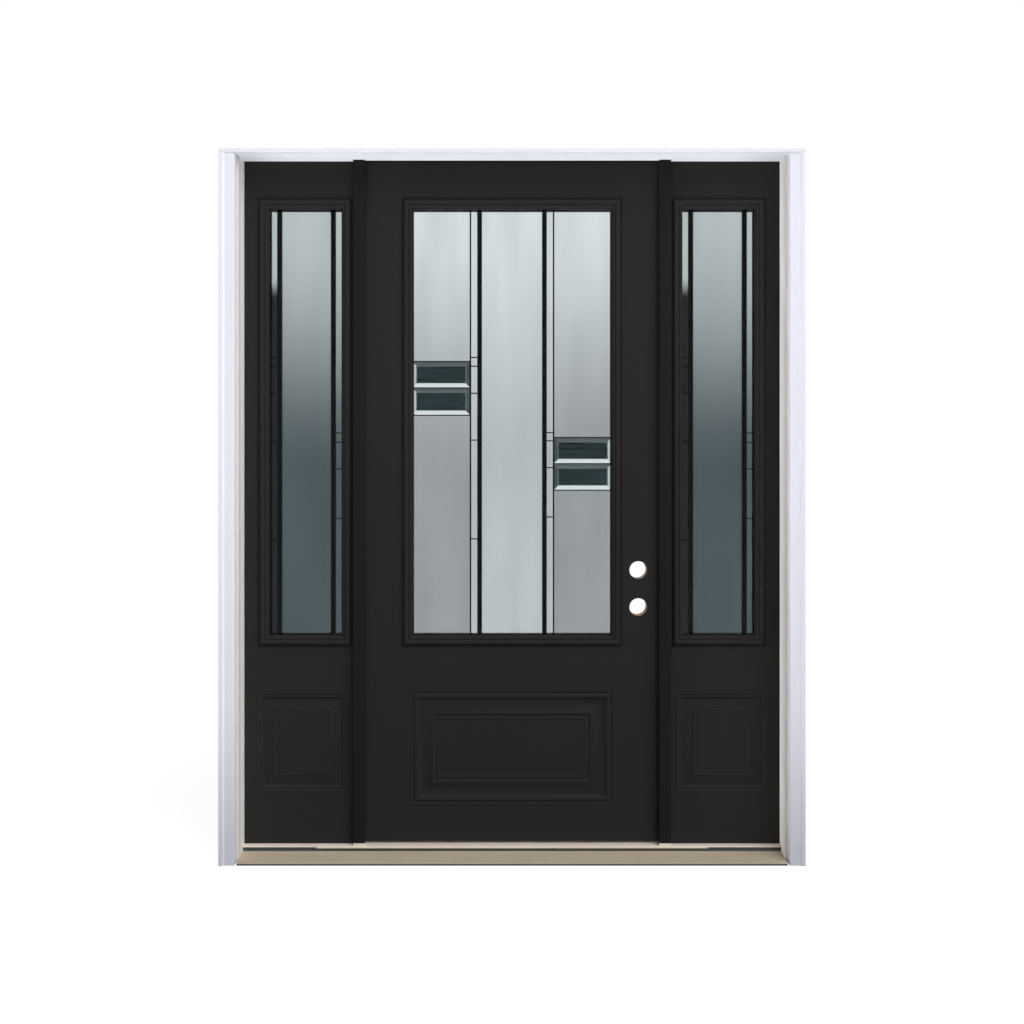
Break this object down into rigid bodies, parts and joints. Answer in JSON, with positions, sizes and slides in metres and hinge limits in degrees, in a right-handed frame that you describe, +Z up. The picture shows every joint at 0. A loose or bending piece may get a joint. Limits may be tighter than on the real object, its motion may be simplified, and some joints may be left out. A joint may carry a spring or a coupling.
{
  "type": "door with sidelights",
  "caption": "Inswing entry door with a decorative glazed lite and a lower panel, between two fixed glazed sidelights, in a white frame with casing and sill.",
  "frame": {"origin": "middle of the sill's underside, level with the exterior face of the jambs", "axes": "+X to the right seen from outside, +Y into the building, +Z up"},
  "size_m": [1.732, 0.162, 2.122],
  "materials": {
    "black_painted_fibreglass": "satin black paint on moulded skins",
    "white_painted_frame": "white painted timber",
    "slab_core": "laminated timber core",
    "insulated_glass": "clear panes of a sealed unit",
    "spacer_bar": "mill finish",
    "sill_substrate": "dark moulded composite",
    "sill_deck_metal": "taupe anodised, streaked",
    "cap_composite": "tan moulded composite",
    "seal_foam": "dark foam and vinyl",
    "hinge_steel": "satin plated steel"
  },
  "bodies": {
    "frame": {"left_jamb": "white_painted_frame", "right_jamb": "white_painted_frame", "head_jamb": "white_painted_frame", "left_mull_post": "black_painted_fibreglass", "right_mull_post": "black_painted_fibreglass", "left_casing": "white_painted_frame", "right_casing": "white_painted_frame", "head_casing": "white_painted_frame", "sill_base": "sill_substrate", "sill_deck": "sill_deck_metal", "threshold_cap": "cap_composite", "sidelight_sill_caps": "cap_composite", "weather_seal": "seal_foam", "frame_hinge_leaves": "hinge_steel", "left_sidelight_outer_skin": "black_painted_fibreglass", "left_sidelight_inner_skin": "black_painted_fibreglass", "left_sidelight_core": "slab_core", "left_sidelight_outer_lite_frame": "black_painted_fibreglass", "left_sidelight_inner_lite_frame": "black_painted_fibreglass", "left_sidelight_glass": "insulated_glass", "left_sidelight_spacer": "spacer_bar", "right_sidelight_outer_skin": "black_painted_fibreglass", "right_sidelight_inner_skin": "black_painted_fibreglass", "right_sidelight_core": "slab_core", "right_sidelight_outer_lite_frame": "black_painted_fibreglass", "right_sidelight_inner_lite_frame": "black_painted_fibreglass", "right_sidelight_glass": "insulated_glass", "right_sidelight_spacer": "spacer_bar"},
    "door": {"door_outer_skin": "black_painted_fibreglass", "door_inner_skin": "black_painted_fibreglass", "hinge_stile": "slab_core", "lock_stile": "slab_core", "top_rail": "slab_core", "bottom_rail": "slab_core", "door_outer_lite_frame": "black_painted_fibreglass", "door_inner_lite_frame": "black_painted_fibreglass", "door_glass": "insulated_glass", "door_spacer": "spacer_bar", "door_hinge_leaves": "hinge_steel", "door_sweep": "seal_foam"}
  },
  "joints": [
    {"name": "door_swing", "type": "hinge", "parent": "frame", "child": "door", "pos_m": [-0.4575, 0.1235, 0], "axis": [0, 0, 1], "range_deg": [0, 110]}
  ]
}
